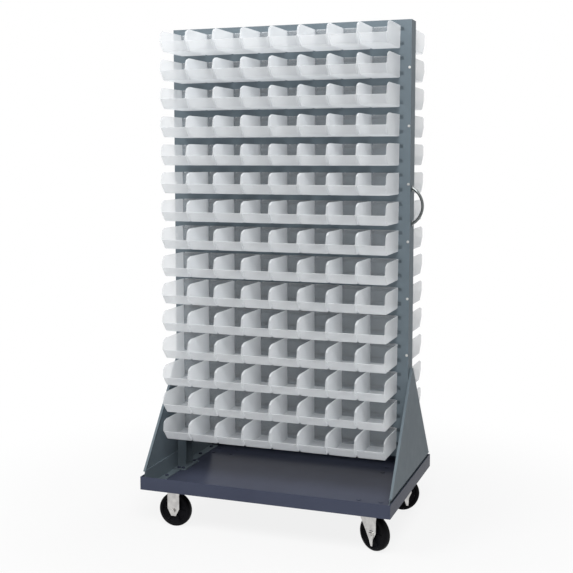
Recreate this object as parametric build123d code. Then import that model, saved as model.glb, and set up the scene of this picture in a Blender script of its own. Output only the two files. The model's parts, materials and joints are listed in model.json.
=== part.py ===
from build123d import *
import os
from math import cos, hypot, radians, sin

# Mobile bin cart: a double-sided louvered rack full of small hanging bins, standing in a steel
# tray on four casters. Lengths are in millimetres, angles in degrees.
# X runs along the rack towards the end with the handle, the front face looks towards -Y, Z is up.
os.makedirs("parts", exist_ok=True)

# Rack: two posts, a louvered panel on each side, a rail at the top and one under the panels
frame_width = 914.4
frame_depth = 64.0
panel_rise = 132.0
panel_sheet = 1.5
post_sheet = 2.0
post_flange = 36.0
rail_flange = 30.0
bottom_rail_height = 38.0

# Post foot: a plate on the tray floor with four bolts
foot_plate_length = 48.0
foot_plate_width = 132.0
foot_plate_sheet = 4.0
foot_bolt_inset = 16.0
foot_bolt_spacing = 18.0
foot_bolt_reach = 52.0

# Tray: a floor sheet with four upturned rims, a little longer than the rack
tray_end_room = 10.3
tray_depth = 642.0
tray_sheet = 2.5
rim_height = 48.0

# Gussets: folded triangular end plates between the tray and the posts
gusset_sheet = 2.5
gusset_inset = 0.5
gusset_height = 452.0
gusset_apex_half = 5.0
gusset_side_room = 12.0
gusset_fold = 9.0
gusset_groove = 13.0
gusset_step = 6.0
gusset_foot_flange = 32.0
gusset_foot_gap = 6.0
gusset_bolt_inset = 17.0
gusset_bolt_shares = (0.492, 0.848)
spacer_half_width = 15.0
spacer_length = 240.0
spacer_apex_room = 44.0

# Bins: open hopper bins of clear plastic, hung in rows on the louvers
bin_rows = 15
bin_columns = 8
row_pitch = 101.63
row_end_room = 35.8
lowest_bin_rise = 30.3
highest_bin_room = 23.2
rear_bin_shift = 28.0
bin_gap = 0.55
bin_height = 76.2
bin_length = 187.3
bin_wall = 2.0
bin_floor = 2.0
bin_draft = 1.2
lip_height_share = 0.472
lip_setback_share = 0.158
shoulder_height_share = 0.853
shoulder_setback_share = 0.032
brow_height_share = 0.945
brow_setback_share = 0.08
crown_setback_share = 0.166
hook_sheet = 3.0
hook_margin = 9.0
hook_drop = 7.0

# Louvers: tongues pressed out of the panels, two to a row of bins
louver_end_room = 28.2
louver_reach = 8.7
louver_rise = 12.0
louver_sheet = 1.5
hang_gap = 0.3

# Push handle on the right-hand end
handle_rise = 1035.0
handle_span = 128.0
handle_reach = 43.0
handle_rod = 10.0
handle_washer_radius = 11.0
handle_washer_sheet = 2.0
handle_screw_inset = 2.0
handle_screw_depth = 5.5

# Casters: fixed at the left-hand end, swivelling with wheel brakes at the handle's end
rigid_end_inset = 99.5
rigid_side_inset = 88.0
swivel_end_inset = 111.5
swivel_side_inset = 119.0
front_swivel_angle = -28.3
rear_swivel_angle = 35.0
swivel_trail = 37.0
wheel_radius = 62.5
wheel_width = 32.0
wheel_shoulder = 7.0
wheel_web = 20.0
wheel_tread_depth = 15.0
hub_radius = 17.0
hub_length = 37.0
axle_radius = 4.75
axle_fit = 0.06
bush_radius = 8.0
plate_length = 105.0
plate_width = 92.0
plate_sheet = 3.0
plate_bolt_length = 80.0
plate_bolt_width = 68.0
fork_sheet = 2.5
fork_side_gap = 0.5
fork_top_gap = 10.5
leg_width = 47.0
leg_tip_width = 18.0
leg_tip_drop = 20.0
leg_taper_rise = 7.0
race_radius = 25.0
race_bore = 15.0
race_gap = 0.1
race_height = 11.0
crown_nose = 28.0
kingpin_radius = 6.0
kingpin_fit = 0.06
kingpin_head_radius = 10.0
kingpin_head = 4.0
brake_sheet = 2.5
brake_boss_radius = 13.0
brake_tip_drop = 41.0
brake_tip_width = 8.0
brake_tip_lead = 6.0
brake_gap = 0.3

# Fasteners
screw_radius = 2.4
screw_head_radius = 4.6
screw_head = 2.2
screw_inset = 6.2
screw_rise = 36.0
bolt_radius = 4.0
bolt_head_radius = 7.5
bolt_head = 4.5
caster_bolt_head_radius = 8.5
caster_bolt_head = 2.0
hole_gap = 0.3
cut_over = 5.0

# Places that follow from the sizes above
axle_height = wheel_radius
crown_under = 2 * wheel_radius + fork_top_gap
crown_top = crown_under + fork_sheet
plate_under = crown_top + race_height
tray_underside = plate_under + plate_sheet
tray_floor = tray_underside + tray_sheet
rim_top = tray_underside + rim_height
half_frame = frame_width / 2
half_depth = frame_depth / 2
half_tray_x = half_frame + tray_end_room
half_tray_y = tray_depth / 2
rigid_x = rigid_end_inset - half_tray_x
rigid_y = half_tray_y - rigid_side_inset
swivel_x = half_tray_x - swivel_end_inset
swivel_y = half_tray_y - swivel_side_inset
panel_bottom = tray_underside + panel_rise
lowest_bin = panel_bottom + lowest_bin_rise
frame_top = lowest_bin + (bin_rows - 1) * row_pitch + bin_height + highest_bin_room
panel_back = half_depth - panel_sheet
gusset_apex_height = tray_underside + gusset_height
gusset_foot_half = half_tray_y - gusset_side_room
spacer_top = gusset_apex_height - spacer_apex_room
spacer_bottom = spacer_top - spacer_length
column_pitch = (frame_width - 2 * row_end_room) / bin_columns
bin_width = column_pitch - bin_gap
lip_height = bin_height * lip_height_share
lip_setback = bin_length * lip_setback_share
shoulder_height = bin_height * shoulder_height_share
shoulder_setback = bin_length * shoulder_setback_share
brow_height = bin_height * brow_height_share
brow_setback = bin_length * brow_setback_share
crown_setback = bin_length * crown_setback_share
bin_back = half_depth + louver_reach + hang_gap
hook_rise = bin_height - hook_sheet
louver_above_bin = hook_rise - louver_rise - hang_gap
louver_pitch = row_pitch / 2
louver_half_length = half_frame - louver_end_room
fork_half = hub_length / 2 + fork_side_gap
fork_outside = fork_half + fork_sheet
handle_tip = half_frame + handle_reach
handle_middle = tray_underside + handle_rise
origin_shift = (half_tray_x - handle_tip) / 2


# Plain shapes
def block(x0, x1, y0, y1, z0, z1):
    middle = ((x0 + x1) / 2, (y0 + y1) / 2, (z0 + z1) / 2)
    return Pos(*middle) * Box(x1 - x0, y1 - y0, z1 - z0)


def prism_x(points, x0, x1):
    """A slab between x0 and x1 with an outline of (y, z) points."""
    outline = Plane.YZ * make_face(Polyline(*points, close=True))
    return Pos(x0, 0, 0) * extrude(outline, amount=x1 - x0)


def prism_y(points, y0, y1):
    """A slab between y0 and y1 with an outline of (x, z) points."""
    outline = Plane.XZ * make_face(Polyline(*points, close=True))
    return Pos(0, y1, 0) * extrude(outline, amount=y1 - y0)


def post_z(x, y, z0, z1, radius):
    return Pos(x, y, (z0 + z1) / 2) * Cylinder(radius, z1 - z0)


def post_y(x, z, y0, y1, radius):
    return Pos(x, (y0 + y1) / 2, z) * Rot(90, 0, 0) * Cylinder(radius, y1 - y0)


def post_x(y, z, x0, x1, radius):
    return Pos((x0 + x1) / 2, y, z) * Rot(0, 90, 0) * Cylinder(radius, x1 - x0)


def hexagon_z(x, y, z0, z1, radius):
    return Pos(x, y, z0) * extrude(RegularPolygon(radius, 6), amount=z1 - z0)


def bolt_z(x, y, top, bottom):
    """A bolt with its head on top, its nut below, and the sheets between top and bottom."""
    shank = post_z(x, y, bottom - bolt_head, top, bolt_radius)
    head = hexagon_z(x, y, top, top + bolt_head, bolt_head_radius)
    nut = hexagon_z(x, y, bottom - bolt_head, bottom, bolt_head_radius)
    return shank + head + nut


def carriage_bolt_z(x, y, top, bottom):
    """A bolt with a low round head on top and its nut below."""
    shank = post_z(x, y, bottom - bolt_head, top, bolt_radius)
    head = post_z(x, y, top, top + caster_bolt_head, caster_bolt_head_radius)
    nut = hexagon_z(x, y, bottom - bolt_head, bottom, bolt_head_radius)
    return shank + head + nut


def bolt_hole_z(x, y, top, bottom):
    return post_z(x, y, bottom - cut_over, top + cut_over, bolt_radius + hole_gap)


def save(node, *solids):
    shape = solids[0] if len(solids) == 1 else Compound(list(solids))
    export_step(Pos(origin_shift, 0, 0) * shape, "parts/" + node + ".step")


# Tray: the floor and four rims are one folded and welded sheet
def foot_bolt_spots(side):
    first = half_frame - foot_bolt_inset
    ends = (-foot_bolt_reach, foot_bolt_reach)
    return [(side * (first - i * foot_bolt_spacing), y) for i in (0, 1) for y in ends]


def gusset_bolt_spots(side):
    x = gusset_face - gusset_step - gusset_bolt_inset
    places = [gusset_foot_half * share for share in gusset_bolt_shares]
    return [(side * x, front * y) for y in places for front in (-1, 1)]


def caster_bolt_spots(x, y):
    spots = []
    for dx in (-plate_bolt_length / 2, plate_bolt_length / 2):
        for dy in (-plate_bolt_width / 2, plate_bolt_width / 2):
            spots.append((x + dx, y + dy))
    return spots


gusset_face = half_tray_x - gusset_inset
caster_places = [(rigid_x, -rigid_y), (rigid_x, rigid_y), (swivel_x, -swivel_y), (swivel_x, swivel_y)]
foot_spots = foot_bolt_spots(-1) + foot_bolt_spots(1)
gusset_spots = gusset_bolt_spots(-1) + gusset_bolt_spots(1)
caster_spots = [spot for place in caster_places for spot in caster_bolt_spots(*place)]

tray = block(-half_tray_x, half_tray_x, -half_tray_y, half_tray_y, tray_underside, rim_top)
tray -= block(
    tray_sheet - half_tray_x, half_tray_x - tray_sheet, tray_sheet - half_tray_y, half_tray_y - tray_sheet,
    tray_floor, rim_top + cut_over,
)
tray -= [bolt_hole_z(x, y, tray_floor, tray_underside) for x, y in foot_spots + gusset_spots + caster_spots]
save("base_tray", tray)

# Posts: lipped channels that open towards each other, each welded to a foot plate
foot_top = tray_floor + foot_plate_sheet
screw_rows = range(1, bin_rows, 2)
screw_heights = [lowest_bin + row * row_pitch + screw_rise for row in screw_rows]
handle_heights = [
    handle_middle - handle_span / 2 + handle_screw_inset,
    handle_middle + handle_span / 2 - handle_screw_inset,
]


def build_post(side):
    inner = half_frame - post_flange
    post = block(inner, half_frame, -panel_back, panel_back, foot_top, frame_top)
    post -= block(
        inner - cut_over, half_frame - post_sheet, post_sheet - panel_back, panel_back - post_sheet,
        foot_top - cut_over, frame_top + cut_over,
    )
    post += block(
        half_frame - foot_plate_length, half_frame, -foot_plate_width / 2, foot_plate_width / 2,
        tray_floor, foot_top,
    )
    post -= [bolt_hole_z(side * x, y, foot_top, tray_floor) for x, y in foot_bolt_spots(side)]
    for height in screw_heights:
        post -= post_y(half_frame - screw_inset, height, -half_depth, half_depth, screw_radius + hole_gap)
    for height in spacer_bolt_heights:
        post -= post_x(0, height, half_frame - post_flange, half_frame + cut_over, bolt_radius + hole_gap)
    if side > 0:
        for height in handle_heights:
            inner = half_frame - post_flange
            post -= post_x(0, height, inner, half_frame + cut_over, bolt_radius + hole_gap)
    return post if side > 0 else mirror(post, Plane.YZ)


spacer_bolt_heights = [
    spacer_bottom + 2 * spacer_half_width,
    spacer_top - 2 * spacer_half_width,
]
save("left_post", build_post(-1))
save("right_post", build_post(1))


# Gussets: the plate, its two sloped folds, the step at the rim, the foot flange and a welded
# spacer bar that the post is bolted to
def gusset_half_at(height):
    share = (gusset_apex_height - height) / (gusset_apex_height - rim_top)
    return gusset_apex_half + (gusset_foot_half - gusset_apex_half) * share


def build_gusset(side):
    groove_top = rim_top + gusset_groove
    outside = gusset_face
    inside = outside - gusset_sheet
    foot_outside = outside - gusset_step
    foot_half = gusset_half_at(groove_top)
    triangle = [
        (-foot_half, groove_top), (foot_half, groove_top),
        (gusset_apex_half, gusset_apex_height), (-gusset_apex_half, gusset_apex_height),
    ]
    plate = prism_x(triangle, inside, outside)
    fold = prism_x(triangle, outside - gusset_fold, outside)
    slope = hypot(foot_half - gusset_apex_half, gusset_apex_height - groove_top)
    sideways = gusset_sheet * slope / (gusset_apex_height - groove_top)
    lower = foot_half - sideways
    upper = gusset_apex_half - sideways
    hollow = [
        (-lower, groove_top), (lower, groove_top),
        (upper, gusset_apex_height), (-upper, gusset_apex_height),
    ]
    if upper < 0:
        apex_share = lower / (lower - upper)
        apex = groove_top + (gusset_apex_height - groove_top) * apex_share
        hollow = [(-lower, groove_top), (lower, groove_top), (0, apex)]
    fold -= prism_x(hollow, outside - gusset_fold - cut_over, outside + cut_over)
    step_inside = foot_outside - gusset_sheet
    step = block(step_inside, outside, -foot_half, foot_half, groove_top, groove_top + gusset_sheet)
    foot = block(foot_outside - gusset_sheet, foot_outside, -foot_half, foot_half, tray_floor, groove_top)
    flange = block(
        foot_outside - gusset_foot_flange, foot_outside, -foot_half, foot_half,
        tray_floor, tray_floor + gusset_sheet,
    )
    flange -= block(
        0, foot_outside - gusset_sheet, -foot_plate_width / 2 - gusset_foot_gap,
        foot_plate_width / 2 + gusset_foot_gap, tray_underside, rim_top,
    )
    spacer = block(half_frame, inside, -spacer_half_width, spacer_half_width, spacer_bottom, spacer_top)
    gusset = plate + fold + step + foot + flange + spacer
    for height in spacer_bolt_heights:
        gusset -= post_x(0, height, half_frame - cut_over, inside, bolt_radius + hole_gap)
    spots = gusset_bolt_spots(side)
    gusset -= [bolt_hole_z(side * x, y, tray_floor, tray_underside) for x, y in spots]
    return gusset if side > 0 else mirror(gusset, Plane.YZ)


save("left_gusset", build_gusset(-1))
save("right_gusset", build_gusset(1))


# Louvered panels: a sheet with two pressed tongues for each row of bins
def build_front_panel():
    front = -half_depth
    sheet = block(-half_frame, half_frame, front, -panel_back, panel_bottom, frame_top)
    slope = louver_rise / louver_reach
    sideways = louver_sheet * hypot(louver_reach, louver_rise) / louver_rise
    root = (sideways - panel_sheet) * slope
    tongues = []
    slots = []
    for row in range(bin_rows):
        for step in (0, 1):
            low = lowest_bin + row * row_pitch + louver_above_bin - step * louver_pitch
            outline = [
                (front + panel_sheet, low), (front, low), (front - louver_reach, low + louver_rise),
                (front - louver_reach + sideways, low + louver_rise), (front + panel_sheet, low + root),
            ]
            tongues.append(prism_x(outline, -louver_half_length, louver_half_length))
            slots.append(block(
                -louver_half_length, louver_half_length, front - cut_over, -panel_back + cut_over,
                low + root, low + louver_rise,
            ))
    panel = sheet - slots + tongues
    for side in (-1, 1):
        for height in screw_heights:
            x = side * (half_frame - screw_inset)
            panel -= post_y(x, height, front - cut_over, -panel_back + cut_over, screw_radius + hole_gap)
    return panel


front_panel = build_front_panel()
save("front_louver_panel", front_panel)
save("rear_louver_panel", Rot(0, 0, 180) * front_panel)


# Rails: folded channels between the posts, behind the panels
def build_rail(z0, z1, web_on_top):
    reach = half_frame - post_sheet
    rail = block(-reach, reach, post_sheet - panel_back, panel_back - post_sheet, z0, z1)
    web_low = z0 + post_sheet
    web_high = z1 - post_sheet
    inside = panel_back - 2 * post_sheet
    if web_on_top:
        return rail - block(-reach - cut_over, reach + cut_over, -inside, inside, z0 - cut_over, web_high)
    return rail - block(-reach - cut_over, reach + cut_over, -inside, inside, web_low, z1 + cut_over)


save("bottom_rail", build_rail(panel_bottom, panel_bottom + bottom_rail_height, False))
save("top_rail", build_rail(frame_top - rail_flange, frame_top, True))

# Screws that hold the panels to the posts
screws = []
for side in (-1, 1):
    for face in (-1, 1):
        for height in screw_heights:
            x = side * (half_frame - screw_inset)
            inner = panel_back - post_sheet - screw_head
            shank = post_y(x, height, *sorted((face * inner, face * half_depth)), screw_radius)
            head_ends = sorted((face * half_depth, face * (half_depth + screw_head)))
            head = post_y(x, height, *head_ends, screw_head_radius)
            screws.append(shank + head)
save("panel_screws", *screws)

# Bolts that hold the gussets and the posts to the tray, and the posts to the gussets
base_bolts = [bolt_z(x, y, foot_top, tray_underside) for x, y in foot_spots]
base_bolts += [bolt_z(x, y, tray_floor + gusset_sheet, tray_underside) for x, y in gusset_spots]
for side in (-1, 1):
    for height in spacer_bolt_heights:
        inner = half_frame - post_sheet
        shank = post_x(0, height, inner, gusset_face - gusset_sheet, bolt_radius)
        head = post_x(0, height, inner - bolt_head, inner, bolt_head_radius)
        bolt = shank + head
        base_bolts.append(bolt if side > 0 else mirror(bolt, Plane.YZ))
save("base_bolts", *base_bolts)

# Push handle: a bowed rod on two washers, screwed on from inside the post
bow_rise = handle_reach - handle_rod / 2
bow_radius = (handle_span ** 2 / 4 + bow_rise ** 2) / (2 * bow_rise)
bow_place = Pos(handle_tip - handle_rod / 2 - bow_radius, 0, handle_middle) * Rot(90, 0, 0)
bow = bow_place * Torus(bow_radius, handle_rod / 2)
bow_bottom = handle_middle - handle_span
bow_top = handle_middle + handle_span
handle = bow & block(half_frame, handle_tip, -handle_rod, handle_rod, bow_bottom, bow_top)
for height in handle_heights:
    handle += post_x(0, height, half_frame, half_frame + handle_washer_sheet, handle_washer_radius)
handle_screws = []
for height in handle_heights:
    inner = half_frame - post_sheet
    tip = half_frame + handle_screw_depth
    handle -= post_x(0, height, half_frame - cut_over, tip, screw_radius)
    shank = post_x(0, height, inner, tip, screw_radius)
    handle_screws.append(shank + post_x(0, height, inner - bolt_head, inner, bolt_head_radius))
save("push_handle", handle)
save("handle_screws", *handle_screws)


# Bins: every bin has the same shell, with the hopper front towards -Y and a hook at its back
def build_bin():
    back = -bin_back
    front = back - bin_length
    half = bin_width / 2
    base_half = half - bin_draft
    side_view = [
        (back, 0), (front + lip_setback, 0), (front, lip_height),
        (front + shoulder_setback, shoulder_height),
        (front + brow_setback, brow_height), (front + crown_setback, bin_height), (back, bin_height),
    ]
    end_view = [(-base_half, 0), (base_half, 0), (half, bin_height), (-half, bin_height)]
    shell = prism_x(side_view, -half, half) & prism_y(end_view, front, back)
    lean = lip_setback / lip_height
    lip_wall = bin_wall * hypot(lip_setback, lip_height) / lip_height
    floor_front = front + lip_setback - lean * bin_floor + lip_wall
    outside = front - cut_over
    above = bin_height + cut_over
    hollow_side = [
        (back - bin_wall, bin_floor), (floor_front, bin_floor), (front + lip_wall, lip_height),
        (outside, lip_height), (outside, above), (back - bin_wall, above),
    ]
    widening = bin_draft / bin_height
    hollow_base = base_half - bin_wall + widening * bin_floor
    hollow_top = base_half - bin_wall + widening * above
    hollow_end = [
        (-hollow_base, bin_floor), (hollow_base, bin_floor), (hollow_top, above), (-hollow_top, above),
    ]
    shell -= prism_x(hollow_side, -half, half) & prism_y(hollow_end, outside - cut_over, back)
    return shell + build_hook()


def build_hook():
    """The ledge over the upper louver and the wedge that drops into its pocket."""
    back = -bin_back
    panel = -half_depth
    under = hook_rise
    slope = louver_rise / louver_reach
    sideways = louver_sheet * hypot(louver_reach, louver_rise) / louver_rise
    pocket_in = panel + sideways + hang_gap * hypot(louver_reach, louver_rise) / louver_rise
    tip_y = pocket_in - louver_rise / slope
    toe_y = tip_y + hook_drop / slope
    near_sheet = panel - hang_gap
    outline = [
        (back, bin_height), (near_sheet, bin_height), (near_sheet, under - hook_drop),
        (toe_y, under - hook_drop), (tip_y, under), (back, under),
    ]
    half = bin_width / 2 - hook_margin
    return prism_x(outline, -half, half)


one_bin = build_bin()
first_column = -(bin_columns - 1) / 2 * column_pitch
bin_row = [Pos(first_column + column * column_pitch, 0, 0) * one_bin for column in range(bin_columns)]
for row in range(bin_rows):
    height = lowest_bin + row * row_pitch
    name = str(row + 1).zfill(2)
    save("bins_front_row_" + name, *[Pos(0, 0, height) * item for item in bin_row])
    turned = [Pos(rear_bin_shift, 0, height) * Rot(0, 0, 180) * item for item in bin_row]
    save("bins_rear_row_" + name, *turned)


# Casters. Each is drawn about the middle of its top plate, with its wheel rolling along X,
# and is then turned and put in its place
def build_wheel(x):
    half = wheel_width / 2
    rim = wheel_radius - wheel_tread_depth
    hub = hub_length / 2
    bore = bush_radius
    outline = [
        (bore, -hub), (hub_radius, -hub), (hub_radius, -wheel_web / 2), (rim, -wheel_web / 2), (rim, -half),
        (wheel_radius - wheel_shoulder, -half), (wheel_radius, wheel_shoulder - half),
        (wheel_radius, half - wheel_shoulder), (wheel_radius - wheel_shoulder, half), (rim, half),
        (rim, wheel_web / 2), (hub_radius, wheel_web / 2), (hub_radius, hub), (bore, hub),
    ]
    profile = Plane.XY * make_face(Polyline(*outline, close=True))
    wheel = revolve(profile, axis=Axis.Y)
    return Pos(x, 0, axle_height) * wheel


def build_axle(x):
    """The axle bolt with its head, its nut and the bush that the wheel turns on."""
    outer = fork_outside
    shank = post_y(x, axle_height, -outer - bolt_head - brake_room, outer, axle_radius)
    bush = post_y(x, axle_height, -fork_half, fork_half, bush_radius - axle_fit)
    head = Pos(x, outer + bolt_head, axle_height) * Rot(90, 0, 0) * extrude(
        RegularPolygon(bolt_head_radius, 6), amount=bolt_head
    )
    nut = Pos(x, -outer - brake_room, axle_height) * Rot(90, 0, 0) * extrude(
        RegularPolygon(bolt_head_radius, 6), amount=bolt_head
    )
    return shank + bush + head + nut


brake_room = brake_sheet + 2 * brake_gap


def leg_outline(x, front_top, rear_top):
    """One fork leg seen from the side: full width at the crown, tapered under the axle."""
    tip = leg_tip_width / 2
    shoulder = axle_height + leg_taper_rise
    return [
        (front_top, crown_top), (rear_top, crown_top), (x + leg_width / 2, shoulder),
        (x + tip, axle_height - leg_tip_drop), (x - tip, axle_height - leg_tip_drop),
        (x - leg_width / 2, shoulder),
    ]


def build_fork(x, front_top, rear_top):
    """Two legs and the crown between them, bored for the axle."""
    outline = leg_outline(x, front_top, rear_top)
    fork = prism_y(outline, fork_half, fork_outside) + prism_y(outline, -fork_outside, -fork_half)
    fork += block(front_top, rear_top, -fork_outside, fork_outside, crown_under, crown_top)
    return fork - post_y(x, axle_height, -fork_outside - cut_over, fork_outside + cut_over, axle_radius)


def build_plate():
    half_length = plate_length / 2
    half_width = plate_width / 2
    plate = block(-half_length, half_length, -half_width, half_width, plate_under, tray_underside)
    return plate - [bolt_hole_z(x, y, tray_underside, plate_under) for x, y in caster_bolt_spots(0, 0)]


def build_rigid_fork():
    fork = build_fork(0, -leg_width / 2, leg_width / 2)
    for side in (-1, 1):
        wall = sorted((side * fork_half, side * fork_outside))
        fork += block(-leg_width / 2, leg_width / 2, *wall, crown_top, plate_under)
    return fork + build_plate()


def build_swivel_plate():
    plate = build_plate()
    race = post_z(0, 0, crown_top + race_gap, plate_under, race_radius)
    race -= post_z(0, 0, crown_top - cut_over, plate_under, race_bore)
    pin_under = crown_under - race_gap
    pin_head = post_z(0, 0, pin_under - kingpin_head, pin_under, kingpin_head_radius)
    pin = post_z(0, 0, crown_under - race_gap, plate_under, kingpin_radius)
    return plate + race + pin + pin_head


def build_swivel_fork():
    fork = build_fork(swivel_trail, -crown_nose, swivel_trail + leg_width / 2)
    return fork - post_z(0, 0, crown_under - cut_over, crown_top + cut_over, kingpin_radius + kingpin_fit)


def build_brake():
    """The lever that hangs on the axle outside the near leg and locks the wheel when swung up."""
    x = swivel_trail
    near = -fork_outside - brake_gap - brake_sheet
    far = -fork_outside - brake_gap
    tip_x = x + brake_tip_lead
    half_tip = brake_tip_width / 2
    outline = [
        (x - brake_boss_radius, axle_height), (x + brake_boss_radius, axle_height),
        (tip_x + half_tip, axle_height - brake_tip_drop), (tip_x - half_tip, axle_height - brake_tip_drop),
    ]
    lever = prism_y(outline, near, far) + post_y(x, axle_height, near, far, brake_boss_radius)
    return lever - post_y(x, axle_height, near - cut_over, far + cut_over, axle_radius + axle_fit)


rigid_fork = build_rigid_fork()
rigid_wheel = build_wheel(0)
rigid_axle = build_axle(0)
swivel_plate = build_swivel_plate()
swivel_fork = build_swivel_fork()
swivel_wheel = build_wheel(swivel_trail)
swivel_axle = build_axle(swivel_trail)
brake = build_brake()
for end, y in (("front", -rigid_y), ("rear", rigid_y)):
    place = Pos(rigid_x, y, 0) * Rot(0, 0, 0 if y < 0 else 180)
    save("rigid_fork_" + end, place * rigid_fork)
    save("rigid_wheel_" + end, place * rigid_wheel)
    save("rigid_axle_" + end, place * rigid_axle)
for end, y, angle in (("front", -swivel_y, front_swivel_angle), ("rear", swivel_y, rear_swivel_angle)):
    place = Pos(swivel_x, y, 0)
    turned = place * Rot(0, 0, angle)
    save("swivel_plate_" + end, place * swivel_plate)
    save("swivel_fork_" + end, turned * swivel_fork)
    save("swivel_wheel_" + end, turned * swivel_wheel)
    save("swivel_axle_" + end, turned * swivel_axle)
    save("brake_lever_" + end, turned * brake)

# Bolts that hold the four caster plates under the tray
save("caster_bolts", *[carriage_bolt_z(x, y, tray_floor, plate_under) for x, y in caster_spots])
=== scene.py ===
import json
from math import atan2, pi, radians

import bmesh
import bpy
from mathutils import Matrix, Vector


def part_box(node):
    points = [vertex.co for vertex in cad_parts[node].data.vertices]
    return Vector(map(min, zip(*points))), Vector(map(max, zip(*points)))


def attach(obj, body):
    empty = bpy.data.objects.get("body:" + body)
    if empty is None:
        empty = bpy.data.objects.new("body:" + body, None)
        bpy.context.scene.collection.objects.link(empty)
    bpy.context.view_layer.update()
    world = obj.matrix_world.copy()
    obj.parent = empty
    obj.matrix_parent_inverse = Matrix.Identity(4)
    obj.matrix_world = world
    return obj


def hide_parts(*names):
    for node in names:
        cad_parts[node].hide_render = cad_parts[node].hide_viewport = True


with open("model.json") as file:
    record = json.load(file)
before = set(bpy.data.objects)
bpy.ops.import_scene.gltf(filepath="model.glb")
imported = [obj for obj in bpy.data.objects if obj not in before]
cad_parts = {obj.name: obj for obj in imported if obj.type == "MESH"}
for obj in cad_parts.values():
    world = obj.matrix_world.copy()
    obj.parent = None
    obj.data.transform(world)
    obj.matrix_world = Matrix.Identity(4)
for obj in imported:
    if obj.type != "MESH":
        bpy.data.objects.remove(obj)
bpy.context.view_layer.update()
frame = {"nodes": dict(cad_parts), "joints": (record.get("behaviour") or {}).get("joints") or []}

scene = bpy.context.scene
nodes = frame["nodes"]

# Camera: off the right-hand front corner of the cart at about chest height, looking a little
# down. It was fitted to the rack's corners, the rows of bins and the tray. Sizes and places are
# in metres, the lens and its sensor in millimetres.
camera_data = bpy.data.cameras.new("camera")
camera_data.sensor_width = 36.0
camera_data.lens = 64.08
camera_data.shift_y = -0.06
camera_yaw = 19.785
camera_pitch = 5.128
camera = bpy.data.objects.new("camera", camera_data)
camera.location = (1.2472, -3.5576, 1.3478)
camera.rotation_euler = (radians(90 - camera_pitch), 0, radians(camera_yaw))
scene.collection.objects.link(camera)
scene.camera = camera

# Floor and light: a plain pale floor that turns to the white of the surround away from the cart,
# and three large soft lamps, in front, on the left and behind.
scene.view_settings.view_transform = "Standard"
floor_size = 12.0
floor_tone = 0.60
fade_start = 0.5
fade_end = 1.8
white_near_cart = 0.86
floor_mesh = bmesh.new()
bmesh.ops.create_grid(floor_mesh, x_segments=1, y_segments=1, size=floor_size)
floor_data = bpy.data.meshes.new("floor")
floor_mesh.to_mesh(floor_data)
floor_mesh.free()
floor = bpy.data.objects.new("floor", floor_data)
scene.collection.objects.link(floor)


def background_seen(tree):
    """1 for a ray that looks at the background, mirrors it or sees it through something."""
    ray = tree.nodes.new("ShaderNodeLightPath")
    seen_or_mirrored = tree.nodes.new("ShaderNodeMath")
    seen_or_mirrored.operation = "MAXIMUM"
    or_seen_through = tree.nodes.new("ShaderNodeMath")
    or_seen_through.operation = "MAXIMUM"
    tree.links.new(ray.outputs["Is Camera Ray"], seen_or_mirrored.inputs[0])
    tree.links.new(ray.outputs["Is Glossy Ray"], seen_or_mirrored.inputs[1])
    tree.links.new(seen_or_mirrored.outputs["Value"], or_seen_through.inputs[0])
    tree.links.new(ray.outputs["Is Transmission Ray"], or_seen_through.inputs[1])
    return or_seen_through.outputs["Value"]


floor_paint = bpy.data.materials.new("pale_floor")
floor_paint.use_nodes = True
tree = floor_paint.node_tree
tree.nodes.clear()
floor_out = tree.nodes.new("ShaderNodeOutputMaterial")
floor_diffuse = tree.nodes.new("ShaderNodeBsdfDiffuse")
floor_diffuse.inputs["Color"].default_value = (floor_tone, floor_tone, floor_tone, 1)
floor_white = tree.nodes.new("ShaderNodeEmission")
floor_white.inputs["Color"].default_value = (1, 1, 1, 1)
floor_white.inputs["Strength"].default_value = 1.0
floor_place = tree.nodes.new("ShaderNodeTexCoord")
floor_distance = tree.nodes.new("ShaderNodeVectorMath")
floor_distance.operation = "LENGTH"
floor_fade = tree.nodes.new("ShaderNodeMapRange")
floor_fade.interpolation_type = "SMOOTHSTEP"
floor_fade.inputs["From Min"].default_value = fade_start
floor_fade.inputs["From Max"].default_value = fade_end
floor_fade.inputs["To Min"].default_value = white_near_cart
floor_fade.inputs["To Max"].default_value = 1.0
floor_whiteness = tree.nodes.new("ShaderNodeMath")
floor_whiteness.operation = "MULTIPLY"
floor_mix = tree.nodes.new("ShaderNodeMixShader")
tree.links.new(floor_place.outputs["Object"], floor_distance.inputs[0])
tree.links.new(floor_distance.outputs["Value"], floor_fade.inputs["Value"])
tree.links.new(background_seen(tree), floor_whiteness.inputs[0])
tree.links.new(floor_fade.outputs["Result"], floor_whiteness.inputs[1])
tree.links.new(floor_whiteness.outputs["Value"], floor_mix.inputs["Fac"])
tree.links.new(floor_diffuse.outputs["BSDF"], floor_mix.inputs[1])
tree.links.new(floor_white.outputs["Emission"], floor_mix.inputs[2])
tree.links.new(floor_mix.outputs["Shader"], floor_out.inputs["Surface"])
floor_data.materials.append(floor_paint)

world = bpy.data.worlds.new("studio")
world.use_nodes = True
scene.world = world
tree = world.node_tree
tree.nodes.clear()
world_out = tree.nodes.new("ShaderNodeOutputWorld")
soft_light = tree.nodes.new("ShaderNodeBackground")
soft_light.inputs["Color"].default_value = (1, 1, 1, 1)
soft_light.inputs["Strength"].default_value = 0.17
white_surround = tree.nodes.new("ShaderNodeBackground")
white_surround.inputs["Color"].default_value = (1, 1, 1, 1)
white_surround.inputs["Strength"].default_value = 1.0
pick_surround = tree.nodes.new("ShaderNodeMixShader")
tree.links.new(background_seen(tree), pick_surround.inputs["Fac"])
tree.links.new(soft_light.outputs["Background"], pick_surround.inputs[1])
tree.links.new(white_surround.outputs["Background"], pick_surround.inputs[2])
tree.links.new(pick_surround.outputs["Shader"], world_out.inputs["Surface"])

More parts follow.
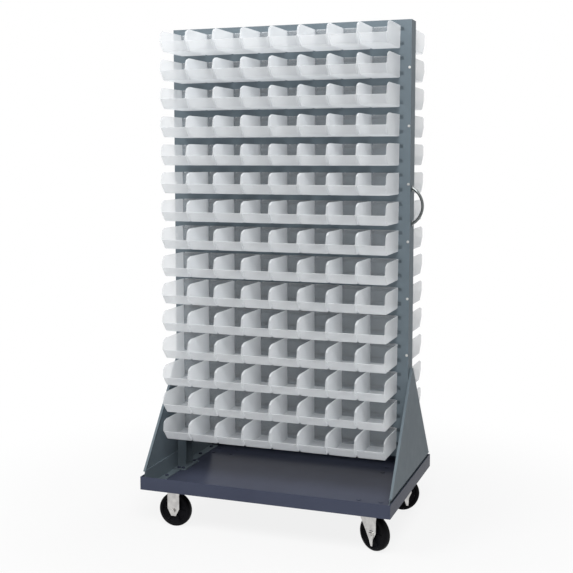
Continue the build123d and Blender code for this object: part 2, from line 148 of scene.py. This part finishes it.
lamp_aim = (0, 0, 1.4)
for lamp_name, place, size, watts in (
    ("front_lamp", (1.4, -3.3, 3.8), 1.8, 185.0),
    ("side_lamp", (-2.0, -2.9, 3.7), 2.0, 120.0),
    ("rear_lamp", (1.4, 3.2, 4.2), 1.8, 62.0),
):
    lamp_data = bpy.data.lights.new(lamp_name, "AREA")
    lamp_data.shape = "SQUARE"
    lamp_data.size = size
    lamp_data.energy = watts
    lamp = bpy.data.objects.new(lamp_name, lamp_data)
    lamp.location = place
    towards_cart = Vector(lamp_aim) - Vector(place)
    lamp.rotation_euler = towards_cart.to_track_quat("-Z", "Y").to_euler()
    scene.collection.objects.link(lamp)

# Rack frame: two channel posts, a top and a bottom rail and two triangular gussets, all folded
# from sheet steel, bolted together and baked with grey enamel. The sheets keep the drawn sizes,
# with their cut edges and bends eased.
merge_gap = 0.00001
flat_angle = 0.5
fold_angle = 30
sharp_angle = 35
sheet_edge = 0.0007


def steady_noise(tree, scale, detail):
    """Noise that stays with its piece, because it reads the piece's own coordinates."""
    place = tree.nodes.new("ShaderNodeTexCoord")
    noise = tree.nodes.new("ShaderNodeTexNoise")
    noise.inputs["Scale"].default_value = scale
    noise.inputs["Detail"].default_value = detail
    tree.links.new(place.outputs["Object"], noise.inputs["Vector"])
    return noise


def mottle(tree, shader, noise, spread, low_tone, high_tone):
    """Lets the colour of a shader drift between two tones."""
    tones = tree.nodes.new("ShaderNodeValToRGB")
    for stop, position, tone in zip(tones.color_ramp.elements, spread, (low_tone, high_tone)):
        stop.position = position
        stop.color = (*tone, 1)
    tree.links.new(noise.outputs["Fac"], tones.inputs["Fac"])
    tree.links.new(tones.outputs["Color"], shader.inputs["Base Color"])
    return tones


def wear_gloss(tree, shader, noise, smooth, dull):
    """Lets the roughness of a shader drift between smooth and dull."""
    gloss = tree.nodes.new("ShaderNodeMapRange")
    gloss.inputs["To Min"].default_value = smooth
    gloss.inputs["To Max"].default_value = dull
    tree.links.new(noise.outputs["Fac"], gloss.inputs["Value"])
    tree.links.new(gloss.outputs["Result"], shader.inputs["Roughness"])


def raise_grain(tree, shader, noise, strength, height):
    """Gives a shader a fine relief."""
    bump = tree.nodes.new("ShaderNodeBump")
    bump.inputs["Strength"].default_value = strength
    bump.inputs["Distance"].default_value = height
    tree.links.new(noise.outputs["Fac"], bump.inputs["Height"])
    tree.links.new(bump.outputs["Normal"], shader.inputs["Normal"])


def baked_paint(paint_name, thin_coat, thick_coat, smooth, dull, shine):
    """An enamel whose tone drifts a little, with worn dull patches and a fine orange peel."""
    paint = bpy.data.materials.new(paint_name)
    paint.use_nodes = True
    tree = paint.node_tree
    shader = tree.nodes["Principled BSDF"]
    shader.inputs["Specular IOR Level"].default_value = shine
    drift = steady_noise(tree, scale=3.5, detail=4.0)
    mottle(tree, shader, drift, (0.3, 0.7), thin_coat, thick_coat)
    patches = steady_noise(tree, scale=22.0, detail=6.0)
    wear_gloss(tree, shader, patches, smooth, dull)
    orange_peel = steady_noise(tree, scale=420.0, detail=2.0)
    raise_grain(tree, shader, orange_peel, strength=0.10, height=0.0003)
    return paint


def finish_piece(piece_name, bm, material, body, replaced=()):
    """Turns a finished bmesh into a piece that rides on a body."""
    data = bpy.data.meshes.new(piece_name)
    for face in bm.faces:
        face.smooth = True
    bm.to_mesh(data)
    bm.free()
    data.set_sharp_from_angle(angle=radians(sharp_angle))
    data.materials.append(material)
    piece = bpy.data.objects.new(piece_name, data)
    scene.collection.objects.link(piece)
    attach(piece, body)
    if replaced:
        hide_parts(*replaced)
    shading = piece.modifiers.new("flat_faces", "WEIGHTED_NORMAL")
    shading.keep_sharp = True


def eased_copy(node, radius):
    """A merged copy of a drawn part with its sharp edges rounded."""
    bm = bmesh.new()
    bm.from_mesh(nodes[node].data)
    bmesh.ops.remove_doubles(bm, verts=bm.verts, dist=merge_gap)
    bmesh.ops.dissolve_limit(bm, angle_limit=radians(flat_angle), verts=bm.verts, edges=bm.edges)
    folds = [e for e in bm.edges if e.is_manifold and e.calc_face_angle(0) > radians(fold_angle)]
    bmesh.ops.bevel(
        bm, geom=folds, offset=radius, segments=2, profile=0.5, material=-1, affect="EDGES",
        clamp_overlap=True,
    )
    return bm


rack_enamel = baked_paint(
    "grey_enamel", (0.108, 0.136, 0.156), (0.124, 0.153, 0.173), smooth=0.42, dull=0.58, shine=0.10
)
for sheet_node in (
    "left_gusset", "right_gusset", "left_post", "right_post", "top_rail", "bottom_rail",
):
    eased = eased_copy(sheet_node, sheet_edge)
    finish_piece(
        sheet_node + "_painted", eased, rack_enamel, "cart", (sheet_node,)
    )

# Base tray: one thick steel sheet with its four rims folded up, baked with a darker, bluer and
# glossier enamel. The casters are bolted under it, the gussets and posts on top.
tray_enamel = baked_paint(
    "dark_enamel", (0.047, 0.053, 0.080), (0.057, 0.065, 0.096), smooth=0.16, dull=0.26, shine=0.014
)
eased = eased_copy("base_tray", sheet_edge)
finish_piece("base_tray_painted", eased, tray_enamel, "cart", ("base_tray",))

# Louvered panels: steel sheets with rows of tongues pressed out, on which the bins hang. They are
# screwed to the posts and enamelled with them, and keep their drawn shape.
for panel_node in ("front_louver_panel", "rear_louver_panel"):
    nodes[panel_node].data.materials.clear()
    nodes[panel_node].data.materials.append(rack_enamel)

# Fasteners: steel screws and bolts with their edges eased. The screws of the panels and the handle
# are zinc-plated and bright, the bolts of the tray and casters carry the tray's enamel.
zinc = bpy.data.materials.new("bright_zinc")
zinc.use_nodes = True
tree = zinc.node_tree
zinc_shader = tree.nodes["Principled BSDF"]
zinc_shader.inputs["Metallic"].default_value = 1.0
zinc_spangle = steady_noise(tree, scale=60.0, detail=5.0)
mottle(tree, zinc_shader, zinc_spangle, (0.35, 0.65), (0.50, 0.49, 0.48), (0.66, 0.65, 0.63))
wear_gloss(tree, zinc_shader, zinc_spangle, smooth=0.26, dull=0.44)

bolt_edge = 0.0005
for bolt_node in ("panel_screws", "handle_screws"):
    eased = eased_copy(bolt_node, bolt_edge)
    finish_piece(bolt_node + "_zinc", eased, zinc, "cart", (bolt_node,))
for bolt_node in ("base_bolts", "caster_bolts"):
    eased = eased_copy(bolt_node, bolt_edge)
    finish_piece(bolt_node + "_painted", eased, tray_enamel, "cart", (bolt_node,))

# Push handle: a steel rod bent to a bow and plated, dark but bright. It stands on two round
# washers and is screwed on from inside the right post.
chrome = bpy.data.materials.new("bright_rod")
chrome.use_nodes = True
tree = chrome.node_tree
chrome_shader = tree.nodes["Principled BSDF"]
chrome_shader.inputs["Metallic"].default_value = 1.0
chrome_haze = steady_noise(tree, scale=45.0, detail=2.0)
mottle(tree, chrome_shader, chrome_haze, (0.0, 1.0), (0.10, 0.11, 0.11), (0.18, 0.19, 0.19))
wear_gloss(tree, chrome_shader, chrome_haze, smooth=0.12, dull=0.22)

handle_edge = 0.0004
eased = eased_copy("push_handle", handle_edge)
finish_piece("push_handle_rod", eased, chrome, "cart", ("push_handle",))

# Casters: forks, plates and brake levers pressed from steel and zinc-plated, and axle bolts with
# their nuts. The left pair is fixed to the tray, the right pair swivels and has the brakes.
fork_edge = 0.0006
for end in ("front", "rear"):
    for fork_node, body in (
        ("rigid_fork_" + end, "cart"), ("swivel_plate_" + end, "cart"),
        ("swivel_fork_" + end, "swivel_yoke_" + end), ("brake_lever_" + end, "brake_" + end),
    ):
        eased = eased_copy(fork_node, fork_edge)
        finish_piece(fork_node + "_plated", eased, zinc, body, (fork_node,))
    for axle_node, body in (
        ("rigid_axle_" + end, "cart"), ("swivel_axle_" + end, "swivel_yoke_" + end),
    ):
        eased = eased_copy(axle_node, bolt_edge)
        finish_piece(axle_node + "_zinc", eased, zinc, body, (axle_node,))

# Wheels: solid black rubber tyres moulded on black hubs with six ribs a side. Each turns on its
# axle bush between the fork's legs.
rubber = bpy.data.materials.new("black_rubber")
rubber.use_nodes = True
tree = rubber.node_tree
rubber_shader = tree.nodes["Principled BSDF"]
rubber_shader.inputs["Roughness"].default_value = 0.48
rubber_shader.inputs["Specular IOR Level"].default_value = 0.05
rubber_dust = steady_noise(tree, scale=30.0, detail=6.0)
mottle(
    tree, rubber_shader, rubber_dust, (0.4, 0.75), (0.004, 0.004, 0.005), (0.008, 0.008, 0.010)
)
raise_grain(tree, rubber_shader, rubber_dust, strength=0.15, height=0.0005)

# radius and half width, from the bore over the hub and the rim to the middle of the tread
wheel_half_profile = (
    (0.0080, 0), (0.0080, 0.0185), (0.0150, 0.0185), (0.0170, 0.0165), (0.0172, 0.0110),
    (0.0200, 0.0098), (0.0425, 0.0098), (0.0450, 0.0115), (0.0465, 0.0150), (0.0480, 0.0156),
    (0.0492, 0.0150), (0.0505, 0.0160), (0.0545, 0.0158), (0.0585, 0.0140), (0.0610, 0.0105),
    (0.0622, 0.0060), (0.0625, 0),
)
wheel_steps = 56
rib_count = 6
rib_inner = 0.0165
rib_outer = 0.0455
rib_half_height = 0.0138
rib_thickness = 0.0034
rib_edge = 0.0009


def turned_wheel():
    """One wheel about the origin, with its axle along Y."""
    bm = bmesh.new()
    rim_verts = [bm.verts.new((radius, across, 0)) for radius, across in wheel_half_profile]
    outline = [bm.edges.new(pair) for pair in zip(rim_verts, rim_verts[1:])]
    bmesh.ops.spin(
        bm, geom=rim_verts + outline, cent=(0, 0, 0), axis=(0, 1, 0), angle=2 * pi,
        steps=wheel_steps, use_merge=True, use_duplicate=False,
    )
    half_wheel = bm.verts[:] + bm.edges[:] + bm.faces[:]
    bmesh.ops.mirror(bm, geom=half_wheel, axis="Y", merge_dist=merge_gap)
    bmesh.ops.remove_doubles(bm, verts=bm.verts, dist=merge_gap)
    bmesh.ops.recalc_face_normals(bm, faces=bm.faces)
    for rib in range(rib_count):
        cube = bmesh.ops.create_cube(bm, size=1.0)
        length = rib_outer - rib_inner
        shape = Matrix.Diagonal((length, 2 * rib_half_height, rib_thickness, 1))
        reach = Matrix.Translation((rib_inner + length / 2, 0, 0))
        turn = Matrix.Rotation(2 * pi * rib / rib_count, 4, "Y")
        bmesh.ops.transform(bm, matrix=turn @ reach @ shape, verts=cube["verts"])
        rib_edges = list({e for v in cube["verts"] for e in v.link_edges})
        bmesh.ops.bevel(
            bm, geom=rib_edges, offset=rib_edge, segments=2, profile=0.5, material=-1,
            affect="EDGES", clamp_overlap=True,
        )
    return bm


for joint in frame["joints"]:
    if "roll_" not in joint["name"]:
        continue
    kind, end = joint["name"].split("_roll_")
    along = Vector(joint["axis"])
    turn = Matrix.Rotation(atan2(-along.x, along.y), 4, "Z")
    place = Matrix.Translation(joint["pos_m"]) @ turn
    bm = turned_wheel()
    bmesh.ops.transform(bm, matrix=place, verts=bm.verts)
    wheel_node = kind + "_wheel_" + end
    finish_piece(
        wheel_node + "_black", bm, rubber, kind + "_roller_" + end, (wheel_node,)
    )

# Bins: open hopper bins moulded in milky clear plastic. Each has a low front lip with a shallow
# label recess, a rolled rim, and a hook behind that drops over a louver.
milky = bpy.data.materials.new("milky_plastic")
milky.use_nodes = True
tree = milky.node_tree
milky_shader = tree.nodes["Principled BSDF"]
milky_shader.inputs["IOR"].default_value = 1.49
milky_cloud = steady_noise(tree, scale=9.0, detail=3.0)
milky_tones = mottle(
    tree, milky_shader, milky_cloud, (0.3, 0.7), (0.88, 0.90, 0.92), (0.92, 0.935, 0.95)
)
wear_gloss(tree, milky_shader, milky_cloud, smooth=0.28, dull=0.40)
milky_glow = tree.nodes.new("ShaderNodeBsdfTranslucent")
tree.links.new(milky_tones.outputs["Color"], milky_glow.inputs["Color"])
milky_body = tree.nodes.new("ShaderNodeMixShader")
milky_body.inputs["Fac"].default_value = 0.40
tree.links.new(milky_shader.outputs["BSDF"], milky_body.inputs[1])
tree.links.new(milky_glow.outputs["BSDF"], milky_body.inputs[2])
# the plastic is nearly clear when looked at straight on and milky at a slant
milky_slant = tree.nodes.new("ShaderNodeLayerWeight")
milky_slant.inputs["Blend"].default_value = 0.5
milky_haze = tree.nodes.new("ShaderNodeMapRange")
milky_haze.interpolation_type = "SMOOTHSTEP"
milky_haze.inputs["From Min"].default_value = 0.05
milky_haze.inputs["From Max"].default_value = 0.30
milky_haze.inputs["To Min"].default_value = 0.14
milky_haze.inputs["To Max"].default_value = 0.47
tree.links.new(milky_slant.outputs["Facing"], milky_haze.inputs["Value"])
# light of the lamps passes mostly through it
milky_ray = tree.nodes.new("ShaderNodeLightPath")
milky_lit = tree.nodes.new("ShaderNodeMix")
milky_lit.inputs["B"].default_value = 0.27
tree.links.new(milky_ray.outputs["Is Shadow Ray"], milky_lit.inputs["Factor"])
tree.links.new(milky_haze.outputs["Result"], milky_lit.inputs["A"])
milky_clear = tree.nodes.new("ShaderNodeBsdfTransparent")
milky_wall = tree.nodes.new("ShaderNodeMixShader")
tree.links.new(milky_lit.outputs["Result"], milky_wall.inputs["Fac"])
tree.links.new(milky_clear.outputs["BSDF"], milky_wall.inputs[1])
tree.links.new(milky_body.outputs["Shader"], milky_wall.inputs[2])
tree.links.new(milky_wall.outputs["Shader"], tree.nodes["Material Output"].inputs["Surface"])

bin_width = 0.1048
bin_height = 0.0762
bin_length = 0.1873
bin_wall = 0.0018
bin_draft = 0.0012
bin_corner = 0.003
bin_back = 0.041
bin_columns = 8
bin_rows = 15
rim_roll = 0.0010
rim_side_share = 0.93
lip_height = 0.036
lip_slope = 0.0295
label_margin = 0.005
label_recess = 0.0008
# the cheek beside the mouth: how far its corners are set back from the front, and their height
cheek_low = (0.007, 0.065)
cheek_high = (0.016, 0.0715)
cheek_end = 0.032
# a face looks along an axis when its normal has at least this share on it
facing = 0.5
side_profile = (
    (0, 0), (lip_slope - bin_length, 0), (rim_roll - bin_length, lip_height - bin_wall),
    (cheek_low[0] - bin_length, cheek_low[1]), (cheek_high[0] - bin_length, cheek_high[1]),
    (cheek_end - bin_length, bin_height), (0, bin_height),
)


def moulded_shell():
    """The walls of one bin, with its back at y = 0 and its mouth towards -Y."""
    half = bin_width / 2 - rim_roll
    bm = bmesh.new()
    side = bm.faces.new([bm.verts.new((-half, y, z)) for y, z in side_profile])
    swept = bmesh.ops.extrude_face_region(bm, geom=[side])
    far_verts = [v for v in swept["geom"] if isinstance(v, bmesh.types.BMVert)]
    bmesh.ops.translate(bm, verts=far_verts, vec=(2 * half, 0, 0))
    bmesh.ops.recalc_face_normals(bm, faces=bm.faces)
    for vert in bm.verts:
        vert.co.x *= 1 - bin_draft / half * (1 - vert.co.z / bin_height)
    mouth = [
        f for f in bm.faces
        if abs(f.normal.x) < facing and f.normal.y < facing
        and f.calc_center_median().z > lip_height
    ]
    bmesh.ops.delete(bm, geom=mouth, context="FACES")
    folds = [e for e in bm.edges if not e.is_boundary]
    bmesh.ops.bevel(
        bm, geom=folds, offset=bin_corner, segments=1, profile=0.5, material=-1,
        affect="EDGES", clamp_overlap=True,
    )
    lip = max((f for f in bm.faces if f.normal.y < -facing), key=lambda f: f.calc_area())
    bmesh.ops.inset_region(
        bm, faces=[lip], thickness=label_margin, depth=0.0, use_even_offset=True
    )
    bmesh.ops.translate(bm, verts=lip.verts, vec=(0, label_recess, 0))
    rim = [e for e in bm.edges if e.is_boundary]
    rolled = bmesh.ops.extrude_edge_only(bm, edges=rim)
    outer = [v for v in rolled["geom"] if isinstance(v, bmesh.types.BMVert)]
    for vert in outer:
        if abs(vert.co.x) > half * rim_side_share:
            vert.co.x += rim_roll if vert.co.x > 0 else -rim_roll
        if vert.co.z < lip_height and vert.co.y < -bin_length / 2:
            vert.co.y -= rim_roll
    bmesh.ops.solidify(bm, geom=bm.faces[:], thickness=bin_wall)
    return bm


ledge_root = 0.0025
ledge_under = 0.0732
hook_reach = 0.0087
hook_inner = 0.0076
hook_tip = 0.0662
hook_margin = 0.009
hook_outline = (
    (0, bin_height), (hook_reach, bin_height), (hook_reach, hook_tip), (hook_inner, hook_tip),
    (ledge_root, ledge_under), (0, ledge_under),
)


def add_hook(bm):
    """The ledge behind the bin and the wedge that drops into a louver's pocket."""
    half = bin_width / 2 - hook_margin
    old_faces = set(bm.faces)
    end_face = bm.faces.new([bm.verts.new((-half, y, z)) for y, z in hook_outline])
    swept = bmesh.ops.extrude_face_region(bm, geom=[end_face])
    far_verts = [v for v in swept["geom"] if isinstance(v, bmesh.types.BMVert)]
    bmesh.ops.translate(bm, verts=far_verts, vec=(2 * half, 0, 0))
    bmesh.ops.recalc_face_normals(bm, faces=[f for f in bm.faces if f not in old_faces])


shell = moulded_shell()
add_hook(shell)
shell_data = bpy.data.meshes.new("bin_shell")
shell.to_mesh(shell_data)
shell.free()
for side_name, turn, back in (("front", 0, -bin_back), ("rear", pi, bin_back)):
    for row in range(bin_rows):
        row_name = "%s_row_%02d" % (side_name, row + 1)
        node = "bins_" + row_name
        low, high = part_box(node)
        pitch = (high.x - low.x - bin_width) / (bin_columns - 1)
        bm = bmesh.new()
        for column in range(bin_columns):
            x = low.x + bin_width / 2 + column * pitch
            before = len(bm.verts)
            bm.from_mesh(shell_data)
            bm.verts.ensure_lookup_table()
            place = Matrix.Translation((x, back, low.z)) @ Matrix.Rotation(turn, 4, "Z")
            bmesh.ops.transform(bm, matrix=place, verts=bm.verts[before:])
        finish_piece(node + "_moulded", bm, milky, "bin_" + row_name, (node,))
